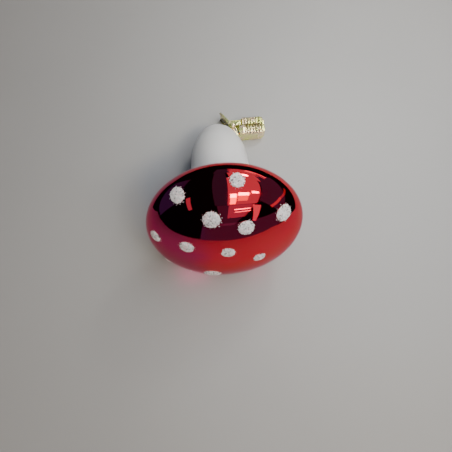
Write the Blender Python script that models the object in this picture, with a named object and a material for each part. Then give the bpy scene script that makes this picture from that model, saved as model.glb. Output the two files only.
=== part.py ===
"""A clip-on tree ornament of blown glass in the shape of a fly agaric, lying on its side on a table.

Metres, +Z up. The crown points to -Y and a little up, the stem to +Y and down. The clip stands on its lower
edges across the foot of the stem, with its jaws to +X. The origin is on the table, under the middle of the part.
"""

import math
import random

import bmesh
import bpy
from mathutils import Matrix, Vector

MM = 0.001

# The cap is a flattened blown ball. The lean is how far its crown points up from the table.
CAP_RADIUS = 25 * MM
CAP_HALF_HEIGHT = 12.8 * MM
GLASS_WALL = 0.9 * MM
LEAN = math.radians(22.5)

# The stem's outline, as the radius at each depth below the widest ring of the cap.
STEM_OUTLINE = [(11.0, 12.1), (10.6, 22.0), (10.3, 30.0), (9.6, 34.5), (8.4, 38.3), (7.0, 41.2), (5.2, 43.2)]
FOOT_DEPTH = 44.2 * MM
NECK_RADIUS = 10.2 * MM
NECK_REACH = 2.0 * MM
FOOT_HOLE_RADIUS = 3.0 * MM

# Glitter spots: bearing round the crown in degrees, distance from the crown's axis and diameter.
# The first ten are on the side that faces up, and the rest carry their spacing round the lower side.
SPOTS = [
    (81, 24.4, 3.9), (121, 24.1, 4.4), (39, 21.3, 5.0), (103, 16.9, 4.9), (67, 14.2, 4.5),
    (153, 13.2, 4.3), (88, 4.0, 4.0), (350, 9.8, 3.7), (245, 12.8, 5.4), (164, 21.9, 3.8),
    (212, 24.2, 4.3), (235, 23.3, 4.6), (258, 24.0, 4.1), (282, 23.0, 4.8), (304, 24.1, 4.2),
    (327, 24.3, 4.5),
]
SPOT_HEIGHT = 0.55 * MM
SPOT_EDGE_HEIGHT = 0.25 * MM
SPOT_GAP = 0.1 * MM
SPOT_RINGS = 3
SPOT_SIDES = 20
SPOT_RAGGED = (0.95, 1.12)
SPOT_WANDER = (0.93, 1.07)
SPOT_GRAIN = (0.75, 1.15)
SPOT_DRAW = 7

# How finely round things are faceted, how far a cutter runs on, and a distance that counts as none.
CAP_OUTER_STEPS = 21
CAP_INNER_STEPS = 15
CAP_SIDES = 44
STEM_STEPS = 2
STEM_SIDES = 32
PLUG_SIDES = 24
PIN_SIDES = 14
HOLE_SIDES = 18
COIL_STEPS = 14
FOLD_TURNS = (35, 65, 90)
EAR_TURNS = (0, 30, 55, 75)
LOBE_TURNS = range(190, 346, 30)
OVERRUN = 2 * MM
TINY = 0.01 * MM

# The clip: two stamped sheets that face each other across a hinge pin. Y is the way the jaws open.
SHEET = 0.35 * MM
JAW_WIDTH = 6.2 * MM
JAW_EDGE = 0.3 * MM
JAW_TIP_X = 19.7 * MM
JAW_REAR_X = 10.6 * MM
JAW_FACE_Y = 47.65 * MM
JAW_RIBS_X = 10.5 * MM
BASE_REAR_X = 9.1 * MM
BASE_FACE_Y = 40.15 * MM
BASE_RIBS_X = 10.9 * MM
BITE_Y = 44.05 * MM
BITE_GAP = 0.3 * MM
JAW_CORNER = 2.0 * MM
NOSE_ROUND = 2.2 * MM
FOLD_RADIUS = 0.4 * MM

# The ribs: a fluted wall that fades out on the face, with a tooth in the lip at each flute.
FLUTE_PITCH = 1.15 * MM
FLUTE_STEPS = 4
FLUTE_DEPTH = 0.34 * MM
RIB_REACH = 1.1 * MM
RIB_FADE = 0.8 * MM
TOOTH_DEPTH = 0.55 * MM
TIP_TOOTH_DEPTH = 0.15 * MM

# The base sheet steps up to a pad behind the foot. The jaw sheet dips to a neck and rises to a finger tab.
PAD_Y = 42.3 * MM
PAD_END_X = -4.0 * MM
PAD_START_X = 3.1 * MM
PAD_HEIGHT = 7.9 * MM
NECK_Y = 46.55 * MM
NECK_FRONT_X = 9.9 * MM
NECK_REAR_X = 5.3 * MM
NECK_EDGE_Y = 44.4 * MM
TAB_END = (2.3 * MM, 50.5 * MM)
TAB_EDGE_END = (1.6 * MM, 50.0 * MM)
TAB_EDGE_START = (4.95 * MM, 44.9 * MM)

# The hinge: inner ears on the base, the neck's side walls on the jaw, a pin through both and a coil round it.
PIN_X = 6.4 * MM
PIN_Y = 44.55 * MM
PIN_RADIUS = 0.5 * MM
PIN_HOLE_RADIUS = 0.8 * MM
PIN_HEAD_RADIUS = 1.0 * MM
PIN_HEAD_HEIGHT = 0.25 * MM
PIN_LOW = 0.15 * MM
EAR_ROUND = 1.25 * MM
EAR_FRONT_X = 8.7 * MM
EAR_REAR_X = 4.9 * MM
PLAY = 0.3 * MM
WIRE_RADIUS = 0.22 * MM
COIL_RADIUS = 1.0 * MM
COIL_TURNS = 3
COIL_PITCH = 0.6 * MM
PAD_LEG = (math.radians(106.5), 6.9 * MM)
TAB_LEG = (math.radians(216), 5.6 * MM)

# What holds the glass to the clip: a plug in the foot's hole and a stud from the pad into the plug.
# The two shapes are outlines from the middle of a head out and down, as shares of its radius and height.
HEAD_SHAPE = [(0, 1), (0.6, 1), (1, 0.5), (1, 0)]
PLUG_HEAD_SHAPE = [(0, 1), (0.7, 0.88), (1, 0.42), (0.94, 0.2)]
PLUG_HEAD_RADIUS = 4.0 * MM
PLUG_HEAD_HEIGHT = 2.4 * MM
PLUG_TAIL = 3.0 * MM
PLUG_TAIL_RADIUS = 3.0 * MM
STUD_RADIUS = 0.6 * MM
STUD_HEAD_RADIUS = 1.7 * MM
STUD_HEAD_HEIGHT = 0.6 * MM
STUD_DEPTH = 2.2 * MM
STUD_X = -0.8 * MM
STUD_DROP = 0.8 * MM


def clear_scene():
    for old in list(bpy.data.objects):
        bpy.data.objects.remove(old, do_unlink=True)


def finish(name, colour, metallic, roughness):
    """A plain principled material in the colour of the real surface."""
    made = bpy.data.materials.new(name)
    made.use_nodes = True
    shader = made.node_tree.nodes["Principled BSDF"]
    shader.inputs["Base Color"].default_value = (*colour, 1)
    shader.inputs["Metallic"].default_value = metallic
    shader.inputs["Roughness"].default_value = roughness
    made.diffuse_color = (*colour, 1)
    return made


def add_object(name, mesh, material, parent=None):
    made = bpy.data.objects.new(name, mesh)
    bpy.context.scene.collection.objects.link(made)
    mesh.materials.append(material)
    made.parent = parent
    return made


def add_empty(name, location, parent=None, turn_x=0.0):
    made = bpy.data.objects.new(name, None)
    made.empty_display_size = 5 * MM
    made.location = location
    made.rotation_euler = (turn_x, 0, 0)
    made.parent = parent
    bpy.context.scene.collection.objects.link(made)
    return made


def mesh_from(bm, name, smooth_angle=None):
    """Turn a bmesh into a mesh, with its faces out and its round parts shaded smooth."""
    bmesh.ops.recalc_face_normals(bm, faces=bm.faces)
    mesh = bpy.data.meshes.new(name)
    bm.to_mesh(mesh)
    bm.free()
    if smooth_angle:
        mesh.shade_smooth()
        mesh.set_sharp_from_angle(angle=math.radians(smooth_angle))
    return mesh


def turned(name, profile, segments, smooth_angle=35):
    """Spin a closed profile of (radius, height) round Z."""
    bm = bmesh.new()
    points = [bm.verts.new((radius, 0, height)) for radius, height in profile]
    edges = [bm.edges.new(pair) for pair in zip(points, points[1:] + points[:1])]
    bmesh.ops.spin(
        bm, geom=points + edges, cent=(0, 0, 0), axis=(0, 0, 1), angle=math.tau, steps=segments, use_merge=True
    )
    bmesh.ops.remove_doubles(bm, verts=bm.verts, dist=0.001 * MM)
    bmesh.ops.dissolve_degenerate(bm, edges=bm.edges, dist=0.001 * MM)
    return mesh_from(bm, name, smooth_angle)


def cut(target, cutter):
    """Take a cutter out of an object with a Boolean, and keep the cutter out of the model."""
    cutter.hide_render = True
    cutter.display_type = "WIRE"
    modifier = target.modifiers.new(cutter.name, "BOOLEAN")
    modifier.operation = "DIFFERENCE"
    modifier.solver = "EXACT"
    modifier.object = cutter


def rod(name, radius, start, end, material, parent):
    """A plain rod between two points, to cut a hole with."""
    start, end = Vector(start), Vector(end)
    along = end - start
    bm = bmesh.new()
    place = Matrix.Translation((start + end) / 2) @ along.to_track_quat("Z", "Y").to_matrix().to_4x4()
    bmesh.ops.create_cone(
        bm, cap_ends=True, segments=HOLE_SIDES, radius1=radius, radius2=radius, depth=along.length, matrix=place
    )
    return add_object(name, mesh_from(bm, name), material, parent)


def cap_profile():
    """The wall of the flattened ball, open at the bottom for the neck of the stem."""
    opening = NECK_RADIUS + PLAY

    def arc(radius, height, steps):
        last = math.pi - math.asin(opening / radius)
        return [(radius * math.sin(last * i / steps), height * math.cos(last * i / steps)) for i in range(steps + 1)]

    outer = arc(CAP_RADIUS, CAP_HALF_HEIGHT, CAP_OUTER_STEPS)
    inner = arc(CAP_RADIUS - GLASS_WALL, CAP_HALF_HEIGHT - GLASS_WALL, CAP_INNER_STEPS)
    return outer + inner[::-1]


def smooth_outline(points, steps):
    """Points on a Catmull-Rom curve through the given ones."""
    ends = [points[0] * 2 - points[1], *points, points[-1] * 2 - points[-2]]
    found = []
    for a, b, c, d in zip(ends, ends[1:], ends[2:], ends[3:]):
        for step in range(steps):
            t = step / steps
            found.append(
                (b * 2 + (c - a) * t + (a * 2 - b * 5 + c * 4 - d) * t**2 + (b * 3 - a - c * 3 + d) * t**3) / 2
            )
    return [*found, points[-1]]


def stem_profile():
    """The bell of the stem from its neck inside the cap to the hole in its foot, and back up its inside."""
    outline = [Vector((radius * MM, -depth * MM)) for radius, depth in STEM_OUTLINE]
    outline.append(Vector((FOOT_HOLE_RADIUS, -FOOT_DEPTH)))
    outer = smooth_outline(outline, STEM_STEPS)
    across = [(b - a).normalized() for a, b in zip([outer[0]] + outer[:-1], outer[1:] + [outer[-1]])]
    inner = [p + Vector((way.y, -way.x)) * GLASS_WALL for p, way in zip(outer, across)]
    top = outer[0].y
    neck_top = top + NECK_REACH
    inner[0] = Vector((NECK_RADIUS - GLASS_WALL, top - GLASS_WALL))
    inner[-1] = Vector((FOOT_HOLE_RADIUS, -FOOT_DEPTH + GLASS_WALL))
    neck = [(NECK_RADIUS - GLASS_WALL, neck_top), (NECK_RADIUS, neck_top), (NECK_RADIUS, top)]
    return neck + [tuple(p) for p in outer] + [tuple(p) for p in inner[::-1]]


def spot_mesh(name, bearing, distance, diameter, chance):
    """A rough raised patch of glitter that follows the cap, with a ragged edge and grains on its top."""
    stretch = Vector((1 / CAP_RADIUS, 1 / CAP_RADIUS, 1 / CAP_HALF_HEIGHT))
    height = CAP_HALF_HEIGHT * math.sqrt(1 - (distance / CAP_RADIUS) ** 2)
    middle = Vector((distance * math.cos(bearing), distance * math.sin(bearing), height))
    out = (middle * stretch * stretch).normalized()
    side = out.cross(Vector((0, 0, 1))).normalized()
    up = out.cross(side)

    def on_cap(sideways, upwards, lift):
        """A point over the cap's surface, found along the patch's own normal."""
        start = middle + side * sideways + up * upwards
        a = (out * stretch).length_squared
        b = 2 * (out * stretch).dot(start * stretch)
        c = (start * stretch).length_squared - 1
        point = start + out * ((-b + math.sqrt(b * b - 4 * a * c)) / (2 * a))
        return point + (point * stretch * stretch).normalized() * lift

    bm = bmesh.new()

    def ring_of(reaches, lifts, turn):
        """A ring of corners round the patch, each at its own reach and lift."""
        row = []
        for i, (reach, lift) in enumerate(zip(reaches, lifts)):
            angle = math.tau * (i + turn) / SPOT_SIDES
            row.append(bm.verts.new(on_cap(reach * math.cos(angle), reach * math.sin(angle), SPOT_GAP + lift)))
        return row

    ragged = [diameter / 2 * chance.uniform(*SPOT_RAGGED) for _ in range(SPOT_SIDES)]
    flat = [0.0] * SPOT_SIDES
    half_turn = 0.5 * (SPOT_RINGS % 2)
    loops = [
        ring_of([diameter / 4] * SPOT_SIDES, flat, half_turn),
        ring_of(ragged, flat, half_turn),
        ring_of(ragged, [SPOT_EDGE_HEIGHT] * SPOT_SIDES, half_turn),
    ]
    for ring in range(SPOT_RINGS - 1, 0, -1):
        reach = diameter / 2 * ring / SPOT_RINGS
        reaches = [reach * chance.uniform(*SPOT_WANDER) for _ in range(SPOT_SIDES)]
        lifts = [SPOT_HEIGHT * chance.uniform(*SPOT_GRAIN) for _ in range(SPOT_SIDES)]
        loops.append(ring_of(reaches, lifts, 0.5 * (ring % 2)))
    crown = bm.verts.new(on_cap(0, 0, SPOT_GAP + SPOT_HEIGHT))
    base = bm.verts.new(on_cap(0, 0, SPOT_GAP))
    for i in range(SPOT_SIDES):
        j = (i + 1) % SPOT_SIDES
        for low, high in zip(loops, loops[1:]):
            bm.faces.new((low[i], low[j], high[j], high[i]))
        bm.faces.new((base, loops[0][i], loops[0][j]))
        bm.faces.new((crown, loops[-1][j], loops[-1][i]))
    bmesh.ops.triangulate(bm, faces=bm.faces)
    return mesh_from(bm, name)


def rim_at(s, rear_x, low, high):
    """The place and the outward way of a jaw's outline in X and Z, s along it from its upper rear corner."""
    right = JAW_TIP_X - JAW_CORNER
    straight = right - rear_x
    front = high - low - 2 * JAW_CORNER
    bend = math.pi / 2 * JAW_CORNER
    if s <= straight:
        return Vector((rear_x + s, high)), Vector((0, 1))
    if s <= straight + bend:
        turn = (s - straight) / JAW_CORNER
        out = Vector((math.sin(turn), math.cos(turn)))
        return Vector((right, high - JAW_CORNER)) + out * JAW_CORNER, out
    if s <= straight + bend + front:
        return Vector((JAW_TIP_X, high - JAW_CORNER - (s - straight - bend))), Vector((1, 0))
    if s <= straight + 2 * bend + front:
        turn = (s - straight - bend - front) / JAW_CORNER
        out = Vector((math.cos(turn), -math.sin(turn)))
        return Vector((right, low + JAW_CORNER)) + out * JAW_CORNER, out
    return Vector((right - (s - straight - 2 * bend - front), low)), Vector((0, -1))


def rim_near(x, z, rear_x, low, high):
    """How far along the outline the nearest place to a point lies, with that place and its outward way."""
    right = JAW_TIP_X - JAW_CORNER
    straight = right - rear_x
    front = high - low - 2 * JAW_CORNER
    bend = math.pi / 2 * JAW_CORNER
    if x <= right:
        s = x - rear_x if z > (low + high) / 2 else 2 * straight + 2 * bend + front - (x - rear_x)
    elif z > high - JAW_CORNER:
        s = straight + JAW_CORNER * math.atan2(x - right, z - high + JAW_CORNER)
    elif z >= low + JAW_CORNER:
        s = straight + bend + high - JAW_CORNER - z
    else:
        s = straight + bend + front + JAW_CORNER * math.atan2(low + JAW_CORNER - z, x - right)
    return s, *rim_at(s, rear_x, low, high)


def rim_length(rear_x, low, high):
    return 2 * (JAW_TIP_X - JAW_CORNER - rear_x) + math.pi * JAW_CORNER + high - low - 2 * JAW_CORNER


def jaw_pan(bm, rear_x, low, high, face_y, lip_y):
    """The jaw as a smooth pan with a rounded nose. Gives back the face's rear edge, where the sheet goes on."""
    length = rim_length(rear_x, low, high)
    steps = round(length / FLUTE_PITCH) * FLUTE_STEPS
    rim = [rim_at(length * i / steps, rear_x, low, high) for i in range(steps + 1)]
    towards = math.copysign(1, lip_y - face_y)
    wall = abs(lip_y - face_y)

    def level(inset, rise):
        """The outline this far in from the wall and this far up it, where the nose rounds both off."""
        found = []
        for at, out in rim:
            flat = at - out * inset
            along = min(1.0, max(0.0, (flat.x - JAW_TIP_X + NOSE_ROUND) / NOSE_ROUND))
            nose = NOSE_ROUND * (1 - math.sqrt(1 - along**2))
            found.append(Vector((flat.x, face_y + towards * (rise + nose * (1 - rise / wall)), flat.y)))
        return found

    chain = [bm.verts.new((point.x, face_y, point.z)) for point in level(RIB_REACH, 0)]
    face = bm.faces.new(chain)
    ring = [edge for edge in face.edges if set(edge.verts) != {chain[0], chain[-1]}]
    rear = next(edge for edge in face.edges if edge not in ring)
    for i in range(1, steps // 2):
        if JAW_TIP_X - NOSE_ROUND - PLAY < chain[i].co.x < JAW_TIP_X - RIB_REACH - TINY:
            bmesh.ops.connect_verts(bm, verts=[chain[i], chain[steps - i]])
    for v, point in zip(chain, level(RIB_REACH, 0)):
        v.co = point
    folds = [((RIB_REACH + FOLD_RADIUS) / 2, 0.0), (FOLD_RADIUS, 0.0)]
    for degrees in FOLD_TURNS:
        turn = math.radians(degrees)
        folds.append((FOLD_RADIUS * (1 - math.sin(turn)), FOLD_RADIUS * (1 - math.cos(turn))))
    for inset, rise in [*folds, (0, wall)]:
        made = bmesh.ops.extrude_edge_only(bm, edges=ring)["geom"]
        fresh = {v for v in made if isinstance(v, bmesh.types.BMVert)}
        ring = [e for e in made if isinstance(e, bmesh.types.BMEdge) and set(e.verts) <= fresh]
        chain = [next(e.other_vert(v) for e in v.link_edges if e.other_vert(v) in fresh) for v in chain]
        for v, point in zip(chain, level(inset, rise)):
            v.co = point
    return rear


def press_ribs(bm, rear_x, low, high, face_y, lip_y, ribs_from):
    """Press the flutes into a jaw's wall and cut its lip to teeth, alike on both sides of the sheet."""
    towards = math.copysign(1, lip_y - face_y)
    length = rim_length(rear_x, low, high)
    pitch = length / round(length / FLUTE_PITCH)
    for v in bm.verts:
        if v.co.x < rear_x + TINY:
            continue
        s, at, out = rim_near(v.co.x, v.co.z, rear_x, low, high)
        inset = (at - v.co.xz).dot(out)
        reach = min(1.0, max(0.0, (RIB_REACH - inset) / (RIB_REACH - FOLD_RADIUS - SHEET)))
        fade = min(1.0, max(0.0, (at.x - ribs_from) / RIB_FADE))
        dip = fade * (1 - math.cos(math.tau * s / pitch)) / 2
        if abs(v.co.y - lip_y) < 5 * TINY:
            tooth = TOOTH_DEPTH + (TIP_TOOTH_DEPTH - TOOTH_DEPTH) * max(0.0, out.x)
            v.co.y -= towards * tooth * dip
        v.co -= Vector((out.x, 0, out.y)) * FLUTE_DEPTH * dip * reach


def fold_on(bm, edge, point, low, high):
    """Carry the sheet on from an edge to the next fold line, at (x, y), between two heights."""
    made = bmesh.ops.extrude_edge_only(bm, edges=[edge])["geom"]
    ends = sorted((v for v in made if isinstance(v, bmesh.types.BMVert)), key=lambda v: v.co.z)
    for v, z in zip(ends, (low, high)):
        v.co = Vector((point[0], point[1], z))
    return next(e for e in made if isinstance(e, bmesh.types.BMEdge) and set(e.verts) == set(ends))


def corner_at(bm, x, y, z):
    """The corner of the folded sheet that stands at a point."""
    return min(bm.verts, key=lambda v: (v.co - Vector((x, y, z))).length)


def inner_ear(bm, z):
    """Fold an ear up from the base sheet's side edge at height z, with its end rounded about the pin."""
    ends = (corner_at(bm, EAR_FRONT_X, BASE_FACE_Y, z), corner_at(bm, EAR_REAR_X, BASE_FACE_Y, z))
    side = bm.edges.get(ends)
    for degrees in EAR_TURNS:
        turn = math.radians(degrees)
        made = bmesh.ops.extrude_edge_only(bm, edges=[side])["geom"]
        ends = sorted((v for v in made if isinstance(v, bmesh.types.BMVert)), key=lambda v: v.co.x)
        reach = EAR_ROUND * math.cos(turn)
        for v, x in zip(ends, (PIN_X - reach, PIN_X + reach)):
            v.co = Vector((x, PIN_Y + EAR_ROUND * math.sin(turn), z))
        side = bm.edges.get(ends)


def neck_wall(bm, z):
    """Fold a side wall down from the jaw sheet's neck and tab at height z, with a lobe round the pin."""
    along = [
        corner_at(bm, NECK_FRONT_X, NECK_Y, z), corner_at(bm, NECK_REAR_X, NECK_Y, z), corner_at(bm, *TAB_END, z)
    ]
    free = [TAB_EDGE_END, TAB_EDGE_START]
    for degrees in LOBE_TURNS:
        turn = math.radians(degrees)
        free.append((PIN_X + EAR_ROUND * math.cos(turn), PIN_Y + EAR_ROUND * math.sin(turn)))
    free += [(PIN_X + 2 * EAR_ROUND, NECK_EDGE_Y), (NECK_FRONT_X, NECK_EDGE_Y)]
    bm.faces.new(along + [bm.verts.new((*point, z)) for point in free])


def thicken(bm, outward):
    """Give a folded surface the sheet's thickness, inwards from the side that looks outward."""
    bmesh.ops.recalc_face_normals(bm, faces=bm.faces)
    largest = max(bm.faces, key=lambda face: face.calc_area())
    if largest.normal.dot(Vector(outward)) < 0:
        bmesh.ops.reverse_faces(bm, faces=bm.faces)
    bmesh.ops.solidify(bm, geom=bm.faces[:], thickness=SHEET)


def clip_base(material, parent):
    lip_y = BITE_Y - BITE_GAP / 2
    low, high = RIB_REACH, JAW_WIDTH - RIB_REACH
    bm = bmesh.new()
    rear = jaw_pan(bm, BASE_REAR_X, 0, JAW_WIDTH, BASE_FACE_Y, lip_y)
    rear = fold_on(bm, rear, (EAR_FRONT_X, BASE_FACE_Y), low, high)
    rear = fold_on(bm, rear, (EAR_REAR_X, BASE_FACE_Y), low, high)
    rear = fold_on(bm, rear, (PAD_START_X, PAD_Y), 0, PAD_HEIGHT)
    fold_on(bm, rear, (PAD_END_X, PAD_Y), 0, PAD_HEIGHT)
    for z in (low, high):
        inner_ear(bm, z)
    thicken(bm, (0, -1, 0))
    press_ribs(bm, BASE_REAR_X, 0, JAW_WIDTH, BASE_FACE_Y, lip_y, BASE_RIBS_X)
    return add_object("clip_base", mesh_from(bm, "clip_base"), material, parent)


def clip_jaw(material, parent):
    """The moving sheet, in the frame of the hinge pin."""
    lip_y = BITE_Y + BITE_GAP / 2
    low, high = JAW_EDGE, JAW_WIDTH - JAW_EDGE
    bm = bmesh.new()
    rear = jaw_pan(bm, JAW_REAR_X, low, high, JAW_FACE_Y, lip_y)
    for point in ((NECK_FRONT_X, NECK_Y), (NECK_REAR_X, NECK_Y), TAB_END):
        rear = fold_on(bm, rear, point, low, high)
    for z in (low, high):
        neck_wall(bm, z)
    thicken(bm, (0, 1, 0))
    press_ribs(bm, JAW_REAR_X, low, high, JAW_FACE_Y, lip_y, JAW_RIBS_X)
    bmesh.ops.translate(bm, verts=bm.verts, vec=(-PIN_X, -PIN_Y, 0))
    return add_object("clip_jaw", mesh_from(bm, "clip_jaw"), material, parent)


def spring(material, parent):
    """A coil wound clockwise round the pin, with a leg along the pad and one behind the finger tab."""
    first, first_reach = PAD_LEG
    last, last_reach = TAB_LEG
    sweep = last - first - math.tau * COIL_TURNS
    steps = COIL_TURNS * COIL_STEPS
    low = (JAW_WIDTH - COIL_PITCH * COIL_TURNS) / 2
    points = []
    for i in range(steps + 1):
        angle = first + sweep * i / steps
        height = low + COIL_PITCH * COIL_TURNS * i / steps
        points.append(Vector((COIL_RADIUS * math.cos(angle), COIL_RADIUS * math.sin(angle), height)))
    points.insert(0, points[0] + Vector((-math.sin(first), math.cos(first), 0)) * first_reach)
    points.append(points[-1] + Vector((math.sin(last), -math.cos(last), 0)) * last_reach)
    curve = bpy.data.curves.new("clip_spring", "CURVE")
    curve.dimensions = "3D"
    curve.bevel_depth = WIRE_RADIUS
    curve.bevel_resolution = 1
    curve.use_fill_caps = True
    line = curve.splines.new("POLY")
    line.points.add(len(points) - 1)
    for spline_point, point in zip(line.points, points):
        spline_point.co = (*point, 1)
    return add_object("clip_spring", curve, material, parent)


def head_profile(shape, radius, low, height):
    """The outline of a head that sits at a height, from its middle out and down."""
    return [(radius * across, low + height * up) for across, up in shape]


def hinge_pin(material, parent):
    """The pin, with a head over the neck's upper side wall."""
    top = JAW_WIDTH - JAW_EDGE + PLAY
    profile = head_profile(HEAD_SHAPE, PIN_HEAD_RADIUS, top, PIN_HEAD_HEIGHT)
    profile += [(PIN_RADIUS, top), (PIN_RADIUS, PIN_LOW), (0, PIN_LOW)]
    return add_object("hinge_pin", turned("hinge_pin", profile, PIN_SIDES), material, parent)


def foot_plug(material, parent):
    """The plug that fills the hole in the foot, with a locking head inside the glass."""
    inside = -FOOT_DEPTH + GLASS_WALL + PLAY
    outside = -FOOT_DEPTH - PLAY
    neck = FOOT_HOLE_RADIUS - PLAY
    tail = outside - PLUG_TAIL
    profile = head_profile(PLUG_HEAD_SHAPE, PLUG_HEAD_RADIUS, inside, PLUG_HEAD_HEIGHT)
    profile += [(neck, inside), (neck, outside), (PLUG_TAIL_RADIUS, outside - PLAY), (neck, tail), (0, tail)]
    return add_object("foot_plug", turned("foot_plug", profile, PLUG_SIDES), material, parent)


def stud(material, parent, height):
    """The stud through the pad, with its head between the sheets and its shank in the plug."""
    inner_face = PAD_Y + SHEET + PLAY
    profile = head_profile(HEAD_SHAPE, STUD_HEAD_RADIUS, inner_face, STUD_HEAD_HEIGHT)
    profile += [(STUD_RADIUS, inner_face), (STUD_RADIUS, PAD_Y - STUD_DEPTH), (0, PAD_Y - STUD_DEPTH)]
    mesh = turned("clip_stud", profile, PIN_SIDES)
    made = add_object("clip_stud", mesh, material, parent)
    mesh.transform(Matrix.Translation((STUD_X, 0, height)) @ Matrix.Rotation(-math.pi / 2, 4, "X"))
    return made


def main():
    clear_scene()
    red_glass = finish("red_mirror_glass", (0.5, 0.01, 0.03), 1.0, 0.04)
    white_glass = finish("white_lacquered_glass", (0.8, 0.79, 0.77), 0.0, 0.5)
    pale_brass = finish("pale_brass", (0.83, 0.74, 0.48), 1.0, 0.28)
    steel = finish("bright_steel", (0.62, 0.6, 0.57), 1.0, 0.3)
    plaster = finish("plaster", (0.74, 0.7, 0.62), 0.0, 0.8)

    rest = add_empty("rest", (0, 0, 0))
    centre_height = math.hypot(CAP_RADIUS * math.cos(LEAN), CAP_HALF_HEIGHT * math.sin(LEAN))
    glass = add_empty("glass", (0, 0, centre_height), rest, math.pi / 2 - LEAN)
    add_object("cap", turned("cap", cap_profile(), CAP_SIDES), red_glass, glass)
    add_object("stem", turned("stem", stem_profile(), STEM_SIDES), white_glass, glass)
    chance = random.Random(SPOT_DRAW)
    for number, (bearing, distance, diameter) in enumerate(SPOTS, 1):
        name = f"spot_{number:02d}"
        glitter = finish(f"glitter_{number:02d}", (0.84, 0.81, 0.81), 0.0, 0.55)
        mesh = spot_mesh(name, math.radians(bearing), distance * MM, diameter * MM, chance)
        add_object(name, mesh, glitter, glass)

    hinge = add_empty("hinge", (PIN_X, PIN_Y, 0), rest)
    base = clip_base(pale_brass, rest)
    jaw = clip_jaw(pale_brass.copy(), hinge)
    hinge_pin(pale_brass.copy(), hinge)
    spring(steel, hinge)
    plug = foot_plug(plaster, glass)
    stud_height = centre_height - FOOT_DEPTH * math.sin(LEAN) - STUD_DROP
    stud(steel.copy(), rest, stud_height)

    pin_hole = rod("pin_hole", PIN_HOLE_RADIUS, (0, 0, -OVERRUN), (0, 0, JAW_WIDTH + OVERRUN), steel, hinge)
    stud_hole = rod(
        "stud_hole", STUD_RADIUS + PLAY, (STUD_X, PAD_Y - STUD_DEPTH - PLAY, stud_height),
        (STUD_X, PAD_Y + OVERRUN, stud_height), steel, rest,
    )
    beyond_pad = rod(
        "beyond_pad", PLUG_HEAD_RADIUS + 2 * OVERRUN, (0, PAD_Y - PLAY, stud_height),
        (0, PAD_Y + PLUG_TAIL + OVERRUN, stud_height), steel, rest,
    )
    cut(base, pin_hole)
    cut(base, stud_hole)
    cut(jaw, pin_hole)
    cut(plug, beyond_pad)
    cut(plug, stud_hole)

    bpy.context.view_layer.update()
    shown = [o for o in bpy.context.scene.objects if o.type == "MESH" and not o.hide_render]
    depths = [(o.matrix_world @ vertex.co).y for o in shown for vertex in o.data.vertices]
    rest.location.y = -(min(depths) + max(depths)) / 2


main()
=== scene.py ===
"""The looks of a clip-on glass mushroom ornament that lies on its side on a pale table.

Metres, +Z up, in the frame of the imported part. The crown of the cap points to -Y and a little up. Each piece
is shaped where it lies, so its object stays at the origin.
"""

import math
import random

import bmesh
import bpy
from mathutils import Matrix, Vector, noise


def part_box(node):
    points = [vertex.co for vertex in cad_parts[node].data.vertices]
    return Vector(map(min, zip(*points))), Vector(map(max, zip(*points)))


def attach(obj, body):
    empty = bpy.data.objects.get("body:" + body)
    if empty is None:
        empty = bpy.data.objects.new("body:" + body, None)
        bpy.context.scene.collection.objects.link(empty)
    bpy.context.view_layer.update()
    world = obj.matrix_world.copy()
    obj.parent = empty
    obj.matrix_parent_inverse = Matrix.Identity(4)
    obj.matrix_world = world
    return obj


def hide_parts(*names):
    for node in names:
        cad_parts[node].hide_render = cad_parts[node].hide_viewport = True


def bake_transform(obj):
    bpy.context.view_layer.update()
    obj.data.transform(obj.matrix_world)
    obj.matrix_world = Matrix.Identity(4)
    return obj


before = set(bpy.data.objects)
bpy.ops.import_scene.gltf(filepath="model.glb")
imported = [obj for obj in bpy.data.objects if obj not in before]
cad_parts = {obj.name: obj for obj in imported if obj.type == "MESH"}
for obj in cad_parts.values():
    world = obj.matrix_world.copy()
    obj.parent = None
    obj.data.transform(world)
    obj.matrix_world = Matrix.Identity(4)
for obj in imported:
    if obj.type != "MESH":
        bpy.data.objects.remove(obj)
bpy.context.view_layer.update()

MM = 0.001

# The blown glass, as its frame has it: Z is the crown's axis, with the cap's widest ring at 0.
CAP_RADIUS = 25 * MM
CAP_HALF_HEIGHT = 12.8 * MM
CAP_OPENING = 10.5 * MM
GLASS_WALL = 0.9 * MM
LEAN = math.radians(22.5)
CAP_SEGMENTS = 160
CAP_STEPS = 72
CAP_LINING_STEPS = 24

# The stem's outline as radius and depth in mm, and its flare onto the cap as radius and drop below the glass.
STEM_OUTLINE = [(11.12, 12.6), (10.6, 22.0), (10.3, 30.0), (9.6, 34.5), (8.4, 38.3), (7.0, 41.2), (5.2, 43.2)]
STEM_FLARE = [(13.2 * MM, 0.0), (12.35 * MM, 0.02 * MM), (11.6 * MM, 0.2 * MM)]
FLARE_GAP = 0.06 * MM
FLARE_EDGE = 0.1 * MM
COLLAR_RADIUS = 10.2 * MM
COLLAR_TOP = -10.3 * MM
COLLAR_LOW = -11.9 * MM
STEM_LINING_TOP = -13 * MM
STEM_SEGMENTS = 112
CURVE_STEPS = 6
FOOT_DEPTH = 44.2 * MM
FOOT_HOLE = 3.0 * MM

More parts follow.
